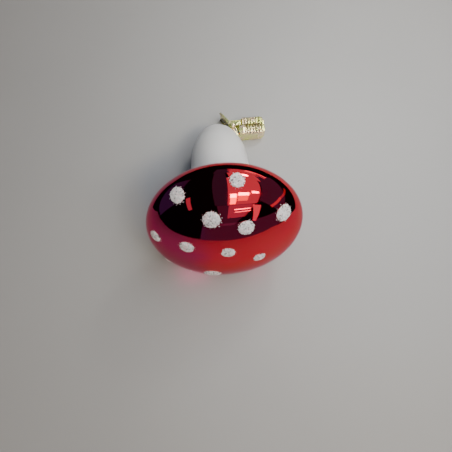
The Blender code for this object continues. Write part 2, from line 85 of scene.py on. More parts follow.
# Glitter spots: bearing round the crown in degrees, distance from the crown's axis and diameter in mm.
SPOTS = [
    (81, 24.4, 3.9), (121, 24.1, 4.4), (39, 21.3, 5.0), (103, 16.9, 4.9), (67, 14.2, 4.5),
    (153, 13.2, 4.3), (88, 4.0, 4.0), (350, 9.8, 3.7), (245, 12.8, 5.4), (164, 21.9, 3.8),
    (212, 24.2, 4.3), (235, 23.3, 4.6), (258, 24.0, 4.1), (282, 23.0, 4.8), (304, 24.1, 4.2),
    (327, 24.3, 4.5),
]
SPOT_HEIGHT = 0.4 * MM
SPOT_SINK = 0.06 * MM
SPOT_RAGGED = 0.07
SPOT_LOBES = 2.4
SPOT_SEED_STEP = 5.1
GRAIN_PITCH = 0.27 * MM
GRAIN_SIZE = (0.13 * MM, 0.24 * MM)
GRAIN_SINK = 0.04 * MM
GRAIN_SEED = 100
LOOSE_GRAINS = 14
# Shares of a grain's own size, or of its place in the spot, and the swing of its bearing in radians.
GRAIN_LIFT = 0.35
GRAIN_SQUASH = (0.65, 1.25)
GRAIN_JITTER = (0.95, 1.05)
GRAIN_SWING = 0.12
LOOSE_REACH = (1.04, 1.22)
LOOSE_SIZE = 0.6

# The clip, with Y as the way the jaws open, measured from the point under the middle of the cap.
SHEET = 0.35 * MM
JAW_WIDTH = 6.2 * MM
JAW_EDGE = 0.3 * MM
JAW_TIP_X = 19.7 * MM
JAW_REAR_X = 10.6 * MM
JAW_FACE_Y = 47.65 * MM
JAW_RIBS_X = 10.5 * MM
BASE_REAR_X = 9.1 * MM
BASE_FACE_Y = 40.15 * MM
BASE_RIBS_X = 10.9 * MM
BITE_Y = 44.05 * MM
BITE_GAP = 0.3 * MM
JAW_CORNER = 2.0 * MM
NOSE_ROUND = 2.2 * MM
FOLD_RADIUS = 0.4 * MM
FOLD_TURNS = (18, 36, 54, 72, 90)
FACE_RINGS = 4
WALL_LEVELS = (0.4, 0.7, 1.0)
FLUTE_PITCH = 1.15 * MM
FLUTE_STEPS = 12
FLUTE_DEPTH = 0.36 * MM
RIB_REACH = 1.1 * MM
RIB_FADE = 0.8 * MM
TOOTH_DEPTH = 0.6 * MM
TIP_TOOTH_DEPTH = 0.15 * MM
LIP_REACH = 0.05 * MM
EDGE_WIDTH = 0.06 * MM
EDGE_ANGLE = math.radians(48)
SHEET_CREASE = math.radians(32)
PAD_Y = 42.3 * MM
PAD_END_X = -4.0 * MM
PAD_START_X = 3.1 * MM
PAD_HEIGHT = 7.9 * MM
NECK_Y = 46.55 * MM
NECK_FRONT_X = 9.9 * MM
NECK_REAR_X = 5.3 * MM
NECK_EDGE_Y = 44.4 * MM
TAB_END = (2.3 * MM, 50.5 * MM)
TAB_EDGE_END = (1.6 * MM, 50.0 * MM)
TAB_EDGE_START = (4.95 * MM, 44.9 * MM)

# The hinge: inner ears on the fixed sheet, side walls on the moving one, a pin through both and a coil round
# the pin.
PIN_X = 6.4 * MM
PIN_Y = 44.55 * MM
PIN_RADIUS = 0.5 * MM
PIN_HOLE_RADIUS = 0.8 * MM
PIN_HEAD_RADIUS = 1.0 * MM
PIN_HEAD_HEIGHT = 0.25 * MM
PIN_LOW = 0.15 * MM
PIN_POINT = 0.85
HEAD_RIM = 0.25
EAR_ROUND = 1.25 * MM
EAR_TURNS = range(0, 88, 8)
EAR_FRONT_X = 8.7 * MM
EAR_REAR_X = 4.9 * MM
LOBE_TURNS = range(190, 346, 8)
PLAY = 0.3 * MM
WIRE_RADIUS = 0.22 * MM
COIL_RADIUS = 1.0 * MM
COIL_TURNS = 3
COIL_STEPS = 40
COIL_PITCH = 0.6 * MM
# The spring's legs, as the bearing at which each leaves the coil and its length.
PAD_LEG = (math.radians(106.5), 6.9 * MM)
TAB_LEG = (math.radians(216), 5.6 * MM)

# The plug in the foot and the stud through the pad.
PLUG_HEAD_SHAPE = [(0, 1), (0.7, 0.88), (1, 0.42), (0.94, 0.2)]
PLUG_HEAD_RADIUS = 4.0 * MM
PLUG_HEAD_HEIGHT = 2.4 * MM
PLUG_TAIL = 3.0 * MM
PLUG_TAIL_RADIUS = 3.0 * MM
STUD_RADIUS = 0.6 * MM
STUD_HEAD_RADIUS = 1.7 * MM
STUD_HEAD_HEIGHT = 0.6 * MM
STUD_DEPTH = 2.2 * MM
STUD_X = -0.8 * MM
STUD_DROP = 0.8 * MM

# How far a cutter runs on past what it cuts, and distances that count as none.
OVERRUN = 2 * MM
TINY = 0.01 * MM
MERGE_REACH = 0.002 * MM
SHORTEST_EDGE = 0.001 * MM

# Segments round the plug and round the rods, pin and stud, and creases between smooth faces in degrees.
PLUG_SEGMENTS = 72
ROD_SEGMENTS = 48
GLASS_CREASE = 50
WIRE_CREASE = 50
TURNED_CREASE = 35

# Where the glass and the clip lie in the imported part. The clip's own Y starts under the middle of the cap.
CLIP_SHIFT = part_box("clip_base")[0].y - BASE_FACE_Y
MIDDLE_HEIGHT = math.hypot(CAP_RADIUS * math.cos(LEAN), CAP_HALF_HEIGHT * math.sin(LEAN))
GLASS_PLACE = Matrix.Translation((0, CLIP_SHIFT, MIDDLE_HEIGHT)) @ Matrix.Rotation(math.pi / 2 - LEAN, 4, "X")
CLIP_PLACE = Matrix.Translation((0, CLIP_SHIFT, 0))
HINGE_PLACE = Matrix.Translation((PIN_X, PIN_Y + CLIP_SHIFT, 0))
STUD_HEIGHT = MIDDLE_HEIGHT - FOOT_DEPTH * math.sin(LEAN) - STUD_DROP
STUD_PLACE = Matrix.Translation((STUD_X, CLIP_SHIFT, STUD_HEIGHT)) @ Matrix.Rotation(-math.pi / 2, 4, "X")


# ---- shader groups -------------------------------------------------------------------------------------


def new_group(name, inputs, outputs):
    """An empty shader group with its sockets. Gives back the group, its input node and its output node."""
    group = bpy.data.node_groups.new(name, "ShaderNodeTree")
    for label, kind, value in inputs:
        socket = group.interface.new_socket(label, in_out="INPUT", socket_type=kind)
        socket.default_value = value
    for label, kind in outputs:
        group.interface.new_socket(label, in_out="OUTPUT", socket_type=kind)
    return group, group.nodes.new("NodeGroupInput"), group.nodes.new("NodeGroupOutput")


def add_node(tree, kind, values=None, **settings):
    """A node with its settings, and with values or links given to its inputs by name or number."""
    node = tree.nodes.new(kind)
    for name, value in settings.items():
        setattr(node, name, value)
    for key, value in (values or {}).items():
        if isinstance(value, bpy.types.NodeSocket):
            tree.links.new(value, node.inputs[key])
        else:
            node.inputs[key].default_value = value
    return node


def maths(tree, operation, *values, clamp=False):
    node = add_node(tree, "ShaderNodeMath", dict(enumerate(values)), operation=operation, use_clamp=clamp)
    return node.outputs[0]


def noise_of(tree, at, scale, detail=2.0, roughness=0.5):
    values = {"Vector": at, "Scale": scale, "Detail": detail, "Roughness": roughness}
    return add_node(tree, "ShaderNodeTexNoise", values).outputs["Fac"]


def ramp(tree, value, low, high):
    """0 below low and 1 above high, with a soft way between."""
    values = {"Value": value, "From Min": low, "From Max": high}
    return add_node(tree, "ShaderNodeMapRange", values, interpolation_type="SMOOTHSTEP").outputs["Result"]


def mix_colours(tree, share, first, second):
    node = add_node(tree, "ShaderNodeMix", data_type="RGBA")
    for socket, value in zip((node.inputs[0], node.inputs[6], node.inputs[7]), (share, first, second)):
        if isinstance(value, bpy.types.NodeSocket):
            tree.links.new(value, socket)
        else:
            socket.default_value = value
    return node.outputs[2]


def cloudy_tint():
    """Broad soft clouds of a second colour over the first, as a lacquer or wash of uneven thickness has."""
    tree, given, made = new_group(
        "cloudy_tint",
        [
            ("Vector", "NodeSocketVector", (0, 0, 0)), ("Scale", "NodeSocketFloat", 60.0),
            ("Amount", "NodeSocketFloat", 1.0), ("Main Color", "NodeSocketColor", (1, 1, 1, 1)),
            ("Second Color", "NodeSocketColor", (1, 1, 1, 1)),
        ],
        [("Color", "NodeSocketColor")],
    )
    at, scale, amount, main, second = (given.outputs[i] for i in range(5))
    clouds = ramp(tree, noise_of(tree, at, scale, detail=3.0, roughness=0.45), low=0.38, high=0.66)
    mask = maths(tree, "MULTIPLY", clouds, amount, clamp=True)
    tree.links.new(mix_colours(tree, mask, main, second), made.inputs["Color"])
    return tree


def handling_marks():
    """Smears and fine specks from handling: a mask for roughness, and a height for the specks."""
    tree, given, made = new_group(
        "handling_marks",
        [
            ("Vector", "NodeSocketVector", (0, 0, 0)), ("Smear Scale", "NodeSocketFloat", 90.0),
            ("Speck Scale", "NodeSocketFloat", 1500.0), ("Clean Roughness", "NodeSocketFloat", 0.1),
            ("Smeared Roughness", "NodeSocketFloat", 0.2),
        ],
        [("Roughness", "NodeSocketFloat"), ("Specks", "NodeSocketFloat")],
    )
    at, smear_scale, speck_scale, clean, smeared = (given.outputs[i] for i in range(5))
    smears = ramp(tree, noise_of(tree, at, smear_scale, detail=6.0, roughness=0.62), low=0.45, high=0.75)
    reach = maths(tree, "SUBTRACT", smeared, clean)
    tree.links.new(maths(tree, "MULTIPLY_ADD", smears, reach, clean), made.inputs["Roughness"])
    specks = ramp(tree, noise_of(tree, at, speck_scale, detail=1.0), low=0.66, high=0.8)
    tree.links.new(specks, made.inputs["Specks"])
    return tree


COARSE_SCALE = 0.12


def fine_relief():
    """A fine uneven surface with a coarser one added, stretched along an axis by its Stretch vector."""
    tree, given, made = new_group(
        "fine_relief",
        [
            ("Vector", "NodeSocketVector", (0, 0, 0)), ("Stretch", "NodeSocketVector", (1, 1, 1)),
            ("Scale", "NodeSocketFloat", 400.0), ("Coarse Share", "NodeSocketFloat", 0.5),
        ],
        [("Height", "NodeSocketFloat")],
    )
    at, stretch, scale, share = (given.outputs[i] for i in range(4))
    along = add_node(tree, "ShaderNodeVectorMath", {0: at, 1: stretch}, operation="MULTIPLY").outputs[0]
    fine = noise_of(tree, along, scale, detail=4.0, roughness=0.6)
    coarse = noise_of(tree, along, maths(tree, "MULTIPLY", scale, COARSE_SCALE))
    lifted = maths(tree, "MULTIPLY", coarse, share)
    tree.links.new(maths(tree, "ADD", fine, lifted), made.inputs["Height"])
    return tree


GROUPS = {"cloudy_tint": cloudy_tint(), "handling_marks": handling_marks(), "fine_relief": fine_relief()}


# ---- materials -----------------------------------------------------------------------------------------


def new_material(name, **sockets):
    """A material and its node tree, with constant values set on the shader's own sockets."""
    made = bpy.data.materials.new(name)
    made.use_nodes = True
    tree = made.node_tree
    shader = tree.nodes["Principled BSDF"]
    for label, value in sockets.items():
        shader.inputs[label.replace("_", " ")].default_value = value
    at = tree.nodes.new("ShaderNodeTexCoord").outputs["Object"]
    return made, tree, shader, at


def use_group(tree, name, values):
    """A node that holds a shared group, with values or links given to its inputs."""
    return add_node(tree, "ShaderNodeGroup", values, node_tree=GROUPS[name])


def bump(tree, shader, height, strength, distance):
    values = {"Height": height, "Strength": strength, "Distance": distance}
    tree.links.new(add_node(tree, "ShaderNodeBump", values).outputs["Normal"], shader.inputs["Normal"])


# Painted reflection: the cap's red is painted more magenta from one place in X to the other, along a wandering
# border, standing in for grazing reflection on its left side.
PAINTED_TINT_START_X = 2 * MM
PAINTED_TINT_FULL_X = -8 * MM
PAINTED_TINT_WANDER = 12 * MM
PAINTED_REFLECTION_TINT = (0.54, 0.02, 0.13, 1)


def red_mirror_glass():
    """Silvered glass under a transparent red lacquer, with a painted reflection: its left side is painted more
    magenta.
    """
    made, tree, shader, at = new_material(
        "red_mirror_glass", Metallic=1.0, Coat_Weight=0.4, Coat_Roughness=0.02, Coat_IOR=1.5,
        Specular_Tint=(0.7, 0.2, 0.36, 1),
    )
    tint = use_group(tree, "cloudy_tint", {
        "Vector": at, "Scale": 38.0, "Amount": 0.7,
        "Main Color": (0.82, 0.016, 0.045, 1), "Second Color": (0.82, 0.035, 0.03, 1),
    })
    # Painted reflection tint: the red turns magenta towards the left side of the cap.
    across = add_node(tree, "ShaderNodeSeparateXYZ", {"Vector": at}).outputs["X"]
    wander = maths(tree, "MULTIPLY_ADD", noise_of(tree, at, scale=70.0), PAINTED_TINT_WANDER, across)
    painted_tint_share = ramp(tree, wander, low=PAINTED_TINT_START_X, high=PAINTED_TINT_FULL_X)
    red_with_painted_tint = mix_colours(tree, painted_tint_share, tint.outputs["Color"], PAINTED_REFLECTION_TINT)
    tree.links.new(red_with_painted_tint, shader.inputs["Base Color"])
    marks = use_group(tree, "handling_marks", {
        "Vector": at, "Smear Scale": 110.0, "Speck Scale": 900.0,
        "Clean Roughness": 0.035, "Smeared Roughness": 0.085,
    })
    tree.links.new(marks.outputs["Roughness"], shader.inputs["Roughness"])
    bump(tree, shader, marks.outputs["Specks"], strength=0.12, distance=0.02 * MM)
    return made


def white_lacquered_glass():
    """Satin white lacquer, brushed along the stem, a little creamy where it is thin."""
    made, tree, shader, at = new_material("white_lacquered_glass", Coat_Weight=0.35, Coat_Roughness=0.28)
    along = add_node(tree, "ShaderNodeMapping", {"Vector": at, "Rotation": (LEAN, 0, 0)}, vector_type="POINT")
    tint = use_group(tree, "cloudy_tint", {
        "Vector": at, "Scale": 120.0, "Amount": 0.5,
        "Main Color": (0.68, 0.68, 0.675, 1), "Second Color": (0.63, 0.625, 0.61, 1),
    })
    tree.links.new(tint.outputs["Color"], shader.inputs["Base Color"])
    marks = use_group(tree, "handling_marks", {
        "Vector": at, "Smear Scale": 160.0, "Speck Scale": 1300.0,
        "Clean Roughness": 0.36, "Smeared Roughness": 0.55,
    })
    tree.links.new(marks.outputs["Roughness"], shader.inputs["Roughness"])
    relief = use_group(tree, "fine_relief", {
        "Vector": along.outputs[0], "Stretch": (1.0, 0.18, 1.0), "Scale": 1500.0, "Coarse Share": 0.8,
    })
    bump(tree, shader, relief.outputs["Height"], strength=0.25, distance=0.06 * MM)
    return made


GRAIN_WHITE = (0.88, 0.86, 0.87, 1)
GRAIN_GREY = (0.5, 0.49, 0.51, 1)
GRAIN_PINK = (0.86, 0.58, 0.62, 1)
GRAIN_DARK = (0.18, 0.17, 0.18, 1)


def glitter():
    """Coarse grains set in clear lacquer: mostly white, some grey, pink or dark, each with its own gloss."""
    made, tree, shader, at = new_material("glitter", IOR=1.5, Coat_Weight=0.5, Coat_Roughness=0.1)
    cells = add_node(tree, "ShaderNodeTexVoronoi", {"Vector": at, "Scale": 2600.0}, feature="F1")
    parts = add_node(tree, "ShaderNodeSeparateColor", {"Color": cells.outputs["Color"]})
    chance, tone, gloss = (parts.outputs[i] for i in range(3))
    pale = mix_colours(tree, tone, GRAIN_WHITE, GRAIN_GREY)
    some_pink = mix_colours(tree, ramp(tree, chance, low=0.84, high=0.86), pale, GRAIN_PINK)
    some_dark = mix_colours(tree, ramp(tree, chance, low=0.91, high=0.92), some_pink, GRAIN_DARK)
    tree.links.new(some_dark, shader.inputs["Base Color"])
    tree.links.new(ramp(tree, gloss, low=-0.6, high=1.5), shader.inputs["Roughness"])
    relief = use_group(tree, "fine_relief", {"Vector": at, "Scale": 3000.0, "Coarse Share": 0.3})
    bump(tree, shader, relief.outputs["Height"], strength=0.4, distance=0.05 * MM)
    return made


def sheet_metal(name, main, second, rough, dull, metallic=1.0):
    """Thin stamped or drawn metal with a wash of uneven colour, fine draw lines and dull handling marks."""
    made, tree, shader, at = new_material(name, Metallic=metallic)
    tint = use_group(tree, "cloudy_tint", {
        "Vector": at, "Scale": 420.0, "Amount": 0.9, "Main Color": (*main, 1), "Second Color": (*second, 1),
    })
    tree.links.new(tint.outputs["Color"], shader.inputs["Base Color"])
    marks = use_group(tree, "handling_marks", {
        "Vector": at, "Smear Scale": 500.0, "Speck Scale": 4000.0,
        "Clean Roughness": rough, "Smeared Roughness": dull,
    })
    tree.links.new(marks.outputs["Roughness"], shader.inputs["Roughness"])
    relief = use_group(tree, "fine_relief", {
        "Vector": at, "Stretch": (0.12, 1.0, 1.0), "Scale": 5000.0, "Coarse Share": 0.4,
    })
    bump(tree, shader, relief.outputs["Height"], strength=0.2, distance=0.02 * MM)
    return made


def plaster():
    """Set plaster: matt, chalky and pitted."""
    made, tree, shader, at = new_material("plaster", Roughness=0.9)
    tint = use_group(tree, "cloudy_tint", {
        "Vector": at, "Scale": 700.0, "Amount": 0.8,
        "Main Color": (0.76, 0.72, 0.64, 1), "Second Color": (0.6, 0.55, 0.47, 1),
    })
    tree.links.new(tint.outputs["Color"], shader.inputs["Base Color"])
    relief = use_group(tree, "fine_relief", {"Vector": at, "Scale": 2600.0, "Coarse Share": 1.0})
    bump(tree, shader, relief.outputs["Height"], strength=0.7, distance=0.12 * MM)
    return made


RED_GLASS = red_mirror_glass()
WHITE_GLASS = white_lacquered_glass()
GLITTER = glitter()
BRASS = sheet_metal(
    "pale_brass", main=(0.95, 1.0, 0.34), second=(1.0, 0.8, 0.56), rough=0.2, dull=0.36, metallic=0.82
)
STEEL = sheet_metal("bright_steel", main=(0.66, 0.65, 0.62), second=(0.54, 0.52, 0.5), rough=0.2, dull=0.4)
PLASTER = plaster()


# ---- shared shaping ------------------------------------------------------------------------------------


def mesh_of(bm, name, smooth_angle=None):
    """A mesh with its faces pointing out, smooth where its faces meet at less than the angle."""
    bmesh.ops.recalc_face_normals(bm, faces=bm.faces)
    mesh = bpy.data.meshes.new(name)
    bm.to_mesh(mesh)
    bm.free()
    if smooth_angle:
        mesh.shade_smooth()
        mesh.set_sharp_from_angle(angle=math.radians(smooth_angle))
    return mesh


def shown(name, mesh, material, slot, body, *nodes):
    """Put a finished mesh in the scene in place of its CAD nodes, and on its body if it rides on one."""
    mesh.materials.clear()
    mesh.materials.append(material)
    made = bpy.data.objects.new(name, mesh)
    bpy.context.scene.collection.objects.link(made)
    if body:
        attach(made, body)
    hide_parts(*nodes)
    return made


def lathe(outline, segments):
    """A bmesh from a closed outline of (radius, height), spun a full turn round Z."""
    bm = bmesh.new()
    points = [bm.verts.new((radius, 0, height)) for radius, height in outline]
    edges = [bm.edges.new(pair) for pair in zip(points, points[1:] + points[:1])]
    bmesh.ops.spin(
        bm, geom=points + edges, cent=(0, 0, 0), axis=(0, 0, 1),
        angle=math.tau, steps=segments, use_merge=True,
    )
    bmesh.ops.remove_doubles(bm, verts=bm.verts, dist=MERGE_REACH)
    bmesh.ops.dissolve_degenerate(bm, edges=bm.edges, dist=SHORTEST_EDGE)
    return bm


def through(points, steps):
    """Points on a smooth curve through the given ones, with this many steps from each to the next."""
    ends = [points[0] * 2 - points[1], *points, points[-1] * 2 - points[-2]]
    found = []
    for a, b, c, d in zip(ends, ends[1:], ends[2:], ends[3:]):
        for step in range(steps):
            t = step / steps
            square, cube = a * 2 - b * 5 + c * 4 - d, b * 3 - a - c * 3 + d
            found.append((b * 2 + (c - a) * t + square * t**2 + cube * t**3) / 2)
    return [*found, points[-1]]


def sway(bm, reach, size, seed):
    """Move the surface in and out a little over broad areas, as hand-blown glass is."""
    bm.normal_update()
    shift = Vector((seed, seed * 2, seed * 3))
    ways = [(v, v.normal * noise.noise(v.co / size + shift) * reach) for v in bm.verts]
    for v, way in ways:
        v.co += way


def settled(name, mesh, *steps):
    """The mesh after its modifiers. Each step gets the object and adds one."""
    raw = bpy.data.objects.new(name, mesh)
    bpy.context.scene.collection.objects.link(raw)
    for step in steps:
        step(raw)
    bpy.context.view_layer.update()
    done = bpy.data.meshes.new_from_object(raw.evaluated_get(bpy.context.evaluated_depsgraph_get()))
    bpy.data.objects.remove(raw)
    done.name = name
    return done


# ---- the blown glass -----------------------------------------------------------------------------------


def cap_arc(radius, height, steps):
    """Half an ellipse from the crown to the opening for the stem."""
    last = math.pi - math.asin(CAP_OPENING / radius)
    turns = [last * i / steps for i in range(steps + 1)]
    return [(radius * math.sin(turn), height * math.cos(turn)) for turn in turns]


def glass_cap():
    outer = cap_arc(CAP_RADIUS, CAP_HALF_HEIGHT, CAP_STEPS)
    inner = cap_arc(CAP_RADIUS - GLASS_WALL, CAP_HALF_HEIGHT - GLASS_WALL, CAP_LINING_STEPS)
    bm = lathe(outer + inner[::-1], CAP_SEGMENTS)
    sway(bm, reach=0.09 * MM, size=17 * MM, seed=3.7)
    bm.transform(GLASS_PLACE)
    mesh = mesh_of(bm, "glass_cap", GLASS_CREASE)
    shown("glass_cap", mesh, RED_GLASS, "red_mirror_glass", "ornament", "cap")


def glass_stem():
    """The bell of the stem, flared onto the cap at its top and drawn in to the hole in its foot."""
    flare = [
        Vector((radius, -CAP_HALF_HEIGHT * math.sqrt(1 - (radius / CAP_RADIUS) ** 2) - FLARE_GAP - drop))
        for radius, drop in STEM_FLARE
    ]
    bell = [Vector((radius * MM, -depth * MM)) for radius, depth in STEM_OUTLINE]
    bell.append(Vector((FOOT_HOLE, -FOOT_DEPTH)))
    outer = through(flare + bell, CURVE_STEPS)
    across = [(b - a).normalized() for a, b in zip([outer[0]] + outer[:-1], outer[1:] + [outer[-1]])]
    inner = [p + Vector((way.y, -way.x)) * GLASS_WALL for p, way in zip(outer, across)]
    inner = [p for p in inner if p.y < STEM_LINING_TOP]
    inner[-1] = Vector((FOOT_HOLE, -FOOT_DEPTH + GLASS_WALL))
    collar = [
        Vector((COLLAR_RADIUS - GLASS_WALL, COLLAR_TOP)), Vector((COLLAR_RADIUS, COLLAR_TOP)),
        Vector((COLLAR_RADIUS, COLLAR_LOW)), flare[0] + Vector((-FLARE_EDGE, FLARE_EDGE)),
    ]
    bm = lathe([tuple(p) for p in collar + outer + inner[::-1]], STEM_SEGMENTS)
    sway(bm, reach=0.1 * MM, size=11 * MM, seed=8.1)
    bm.transform(GLASS_PLACE)
    mesh = mesh_of(bm, "glass_stem", GLASS_CREASE)
    shown("glass_stem", mesh, WHITE_GLASS, "white_lacquered_glass", "ornament", "stem")


def patch_on_cap(bearing, distance):
    """A way to place points over the cap: sideways and upwards from a spot's middle, and above the glass."""
    stretch = Vector((1 / CAP_RADIUS, 1 / CAP_RADIUS, 1 / CAP_HALF_HEIGHT))
    height = CAP_HALF_HEIGHT * math.sqrt(1 - (distance / CAP_RADIUS) ** 2)
    middle = Vector((distance * math.cos(bearing), distance * math.sin(bearing), height))
    out = (middle * stretch * stretch).normalized()
    side = out.cross(Vector((0, 0, 1))).normalized()
    up = out.cross(side)

    def place(sideways, upwards, lift):
        start = middle + side * sideways + up * upwards
        a = (out * stretch).length_squared
        b = 2 * (out * stretch).dot(start * stretch)
        c = (start * stretch).length_squared - 1
        point = start + out * ((-b + math.sqrt(b * b - 4 * a * c)) / (2 * a))
        return point + (point * stretch * stretch).normalized() * lift

    return place


def glitter_spot(number, bearing, distance, diameter):
    """A low ragged cushion of lacquer, covered in grains, with some grains loose round its edge."""
    chance = random.Random(GRAIN_SEED + number)
    place = patch_on_cap(math.radians(bearing), distance * MM)
    reach = diameter * MM / 2
    bm = bmesh.new()
    bmesh.ops.create_uvsphere(bm, u_segments=36, v_segments=12, radius=1)
    for v in bm.verts:
        flat = v.co.xy * reach
        ragged = 1
        if flat.length:
            around = Vector((*(v.co.xy.normalized() * SPOT_LOBES), number * SPOT_SEED_STEP))
            ragged += SPOT_RAGGED * noise.noise(around)
        lift = v.co.z * SPOT_HEIGHT if v.co.z > 0 else 0
        v.co = place(flat.x * ragged, flat.y * ragged, lift - SPOT_SINK)
    count = round(math.pi * reach**2 / GRAIN_PITCH**2)
    golden_angle = math.pi * (3 - math.sqrt(5))
    for i in range(count + LOOSE_GRAINS):
        if i < count:
            share = math.sqrt((i + 0.5) / count) * chance.uniform(*GRAIN_JITTER)
        else:
            share = chance.uniform(*LOOSE_REACH)
        angle = i * golden_angle + chance.uniform(-GRAIN_SWING, GRAIN_SWING)
        dome = SPOT_HEIGHT * math.sqrt(max(0.0, 1 - share**2)) - GRAIN_SINK
        size = chance.uniform(*GRAIN_SIZE) * (1 if i < count else LOOSE_SIZE)
        at = place(reach * share * math.cos(angle), reach * share * math.sin(angle), dome + size * GRAIN_LIFT)
        turn = chance.uniform(0, math.tau)
        axis = Vector([chance.uniform(-1, 1) for _ in range(3)])
        shape = Matrix.Diagonal([chance.uniform(*GRAIN_SQUASH) for _ in range(3)] + [1])
        grain_place = Matrix.Translation(at) @ Matrix.Rotation(turn, 4, axis) @ shape
        bmesh.ops.create_icosphere(bm, subdivisions=1, radius=size, matrix=grain_place)
    bm.transform(GLASS_PLACE)
    name = f"glitter_spot_{number:02d}"
    shown(name, mesh_of(bm, name), GLITTER, "glitter", "ornament", f"spot_{number:02d}")


def plaster_plug():
    """The plug in the hole of the foot, flush with the back of the clip's pad."""
    inside = -FOOT_DEPTH + GLASS_WALL + PLAY
    outside = -FOOT_DEPTH - PLAY
    neck = FOOT_HOLE - PLAY
    tail = outside - PLUG_TAIL
    outline = [(PLUG_HEAD_RADIUS * across, inside + PLUG_HEAD_HEIGHT * up) for across, up in PLUG_HEAD_SHAPE]
    outline += [(neck, inside), (neck, outside), (PLUG_TAIL_RADIUS, outside - PLAY), (neck, tail), (0, tail)]
    bm = lathe(outline, PLUG_SEGMENTS)
    bm.transform(GLASS_PLACE)
    bmesh.ops.bisect_plane(
        bm, geom=bm.verts[:] + bm.edges[:] + bm.faces[:], plane_co=(0, PAD_Y - PLAY + CLIP_SHIFT, 0),
        plane_no=(0, 1, 0), clear_outer=True,
    )
    bmesh.ops.holes_fill(bm, edges=[e for e in bm.edges if e.is_boundary])
    mesh = mesh_of(bm, "plaster_plug", TURNED_CREASE)
    shown("plaster_plug", mesh, PLASTER, "plaster", "ornament", "foot_plug")


# ---- the clip ------------------------------------------------------------------------------------------


def rim_at(s, rear_x, low, high):
    """The place and the outward way of a jaw's outline in X and Z, s along it from its upper rear corner."""
    right = JAW_TIP_X - JAW_CORNER
    straight = right - rear_x
    front = high - low - 2 * JAW_CORNER
    bend = math.pi / 2 * JAW_CORNER
    if s <= straight:
        return Vector((rear_x + s, high)), Vector((0, 1))
    if s <= straight + bend:
        turn = (s - straight) / JAW_CORNER
        out = Vector((math.sin(turn), math.cos(turn)))
        return Vector((right, high - JAW_CORNER)) + out * JAW_CORNER, out
    if s <= straight + bend + front:
        return Vector((JAW_TIP_X, high - JAW_CORNER - (s - straight - bend))), Vector((1, 0))
    if s <= straight + 2 * bend + front:
        turn = (s - straight - bend - front) / JAW_CORNER
        out = Vector((math.cos(turn), -math.sin(turn)))
        return Vector((right, low + JAW_CORNER)) + out * JAW_CORNER, out
    return Vector((right - (s - straight - 2 * bend - front), low)), Vector((0, -1))


def rim_near(x, z, rear_x, low, high):
    """How far along the outline the nearest place to a point lies, with that place and its outward way."""
    right = JAW_TIP_X - JAW_CORNER
    straight = right - rear_x
    front = high - low - 2 * JAW_CORNER
    bend = math.pi / 2 * JAW_CORNER
    if x <= right:
        s = x - rear_x if z > (low + high) / 2 else 2 * straight + 2 * bend + front - (x - rear_x)
    elif z > high - JAW_CORNER:
        s = straight + JAW_CORNER * math.atan2(x - right, z - high + JAW_CORNER)
    elif z >= low + JAW_CORNER:
        s = straight + bend + high - JAW_CORNER - z
    else:
        s = straight + bend + front + JAW_CORNER * math.atan2(low + JAW_CORNER - z, x - right)
    return s, *rim_at(s, rear_x, low, high)


def rim_length(rear_x, low, high):
    return 2 * (JAW_TIP_X - JAW_CORNER - rear_x) + math.pi * JAW_CORNER + high - low - 2 * JAW_CORNER


def jaw_pan(bm, rear_x, low, high, face_y, lip_y):
    """The jaw as a smooth pan with a rounded nose. Gives back its rear edge, where the sheet goes on."""
    length = rim_length(rear_x, low, high)
    steps = round(length / FLUTE_PITCH) * FLUTE_STEPS
    rim = [rim_at(length * i / steps, rear_x, low, high) for i in range(steps + 1)]
    towards = math.copysign(1, lip_y - face_y)
    wall = abs(lip_y - face_y)

    def level(inset, rise):
        """The outline this far in from the wall and this far up it, where the nose rounds both off."""
        found = []
        for at, out in rim:
            flat = at - out * inset
            along = min(1.0, max(0.0, (flat.x - JAW_TIP_X + NOSE_ROUND) / NOSE_ROUND))
            nose = NOSE_ROUND * (1 - math.sqrt(1 - along**2))
            found.append(Vector((flat.x, face_y + towards * (rise + nose * (1 - rise / wall)), flat.y)))
        return found

    chain = [bm.verts.new((point.x, face_y, point.z)) for point in level(RIB_REACH, 0)]
    face = bm.faces.new(chain)
    ring = [edge for edge in face.edges if set(edge.verts) != {chain[0], chain[-1]}]
    rear = next(edge for edge in face.edges if edge not in ring)
    for i in range(1, steps // 2):
        if JAW_TIP_X - NOSE_ROUND - PLAY < chain[i].co.x < JAW_TIP_X - RIB_REACH - TINY:
            bmesh.ops.connect_verts(bm, verts=[chain[i], chain[steps - i]])
    for v, point in zip(chain, level(RIB_REACH, 0)):
        v.co = point
    folds = [(RIB_REACH + (FOLD_RADIUS - RIB_REACH) * i / FACE_RINGS, 0.0) for i in range(1, FACE_RINGS + 1)]
    for degrees in FOLD_TURNS:
        turn = math.radians(degrees)
        folds.append((FOLD_RADIUS * (1 - math.sin(turn)), FOLD_RADIUS * (1 - math.cos(turn))))
    for inset, rise in folds + [(0, wall * share) for share in WALL_LEVELS]:
        made = bmesh.ops.extrude_edge_only(bm, edges=ring)["geom"]
        fresh = {v for v in made if isinstance(v, bmesh.types.BMVert)}
        ring = [e for e in made if isinstance(e, bmesh.types.BMEdge) and set(e.verts) <= fresh]
        chain = [next(e.other_vert(v) for e in v.link_edges if e.other_vert(v) in fresh) for v in chain]
        for v, point in zip(chain, level(inset, rise)):
            v.co = point
    return rear


